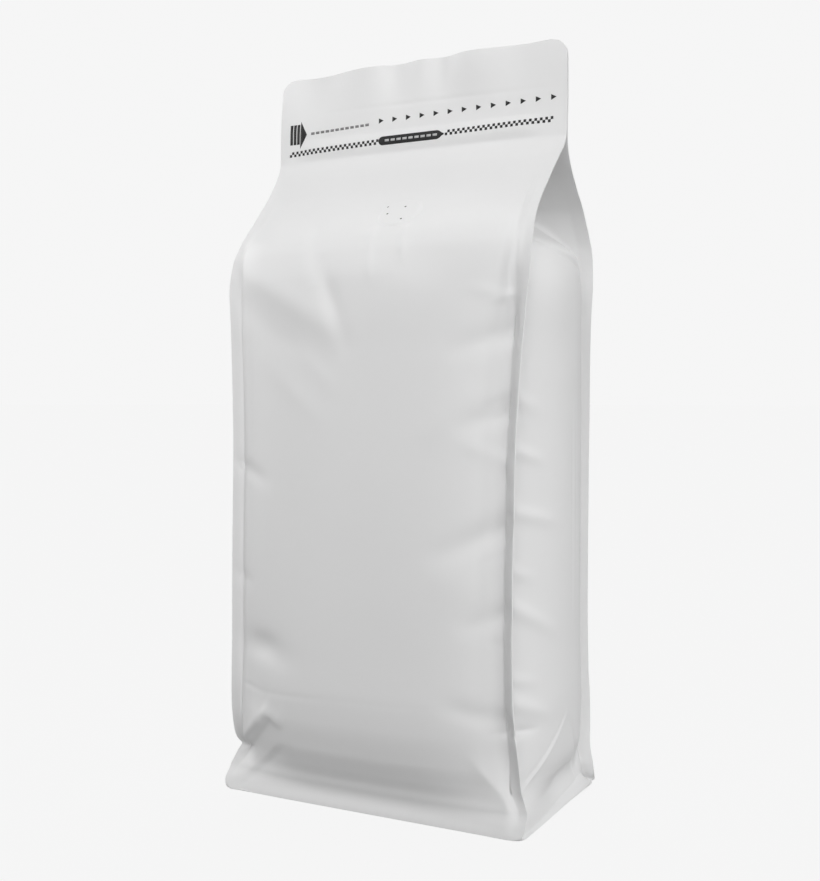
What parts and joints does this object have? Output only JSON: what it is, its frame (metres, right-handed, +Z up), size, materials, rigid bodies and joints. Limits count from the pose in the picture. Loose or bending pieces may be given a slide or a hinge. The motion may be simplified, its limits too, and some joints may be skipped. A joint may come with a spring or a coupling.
{
  "type": "block bottom bag",
  "caption": "Filled and shut block-bottom pouch for coffee beans, with side gussets, corner seals, a zip band and a one-way valve.",
  "frame": {"origin": "middle of the foot, on the surface that the pouch stands on", "axes": "+Z up, -Y out of the front that carries the valve, +X to the viewer's right"},
  "size_m": [0.1468, 0.1061, 0.317],
  "materials": {
    "film": "matte white laminate film",
    "valve": "matte white film over a valve"
  },
  "bodies": {
    "root": {"film_pouch": "film", "valve": "valve"}
  },
  "joints": []
}
